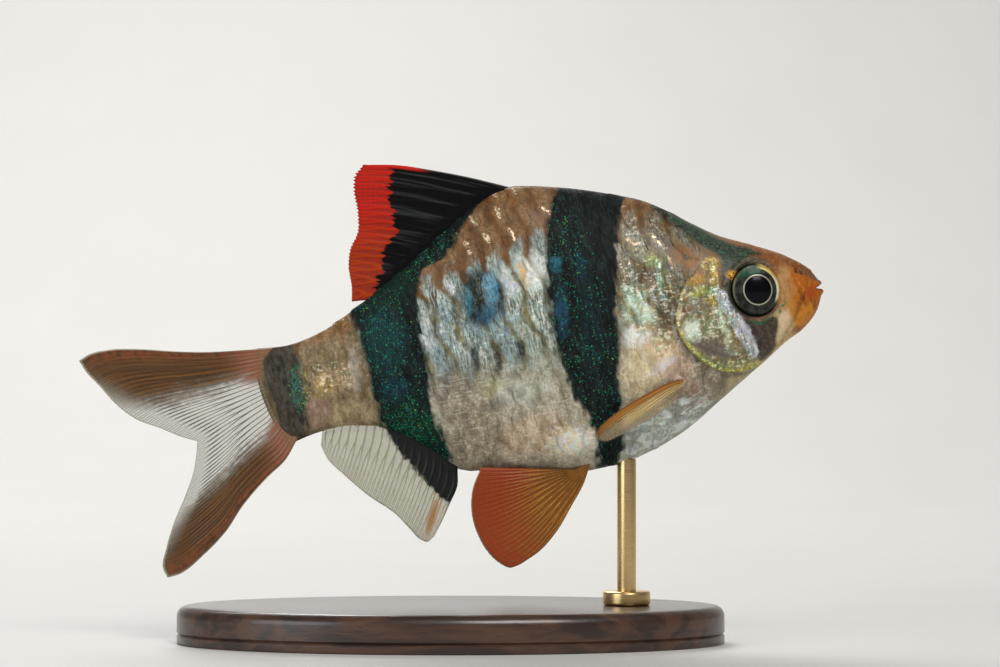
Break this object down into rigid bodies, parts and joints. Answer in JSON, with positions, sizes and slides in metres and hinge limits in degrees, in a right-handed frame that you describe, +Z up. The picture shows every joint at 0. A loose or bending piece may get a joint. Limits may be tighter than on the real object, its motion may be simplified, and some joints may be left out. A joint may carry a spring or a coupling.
{
  "type": "tiger barb display model",
  "caption": "Life-size model of a tiger barb, deep-bodied with dark bars and spread fins, held head up by a rod on an oval plinth.",
  "frame": {"origin": "on the plinth's flat underside, under the middle of the whole model", "axes": "+X towards the snout, +Z up, so +Y to the fish's left"},
  "size_m": [0.0626, 0.027, 0.0402],
  "materials": {
    "skin": "scaled, silvery tan with blue-black bars",
    "gill_cover": "smooth, silver and gold",
    "eye": "polished black with a pale ring",
    "dorsal_fin": "black with a red outer edge",
    "anal_fin": "clear, with pale rays",
    "tail_fin": "clear brown-red with fine rays",
    "pelvic_fin": "orange-red with gold rays",
    "pectoral_fin": "clear amber",
    "plinth": "dark, waxed",
    "rod": "satin"
  },
  "bodies": {
    "root": {"head": "skin", "lower_jaw": "skin", "trunk": "skin", "tail_stalk": "skin", "gill_cover_right": "gill_cover", "gill_cover_left": "gill_cover", "eye_right": "eye", "eye_left": "eye", "dorsal_fin": "dorsal_fin", "anal_fin": "anal_fin", "tail_fin_upper": "tail_fin", "tail_fin_lower": "tail_fin", "pelvic_fin_right": "pelvic_fin", "pelvic_fin_left": "pelvic_fin", "pectoral_fin_right": "pectoral_fin", "pectoral_fin_left": "pectoral_fin", "stand_plinth": "plinth", "stand_collar": "rod", "stand_rod": "rod"}
  },
  "joints": []
}
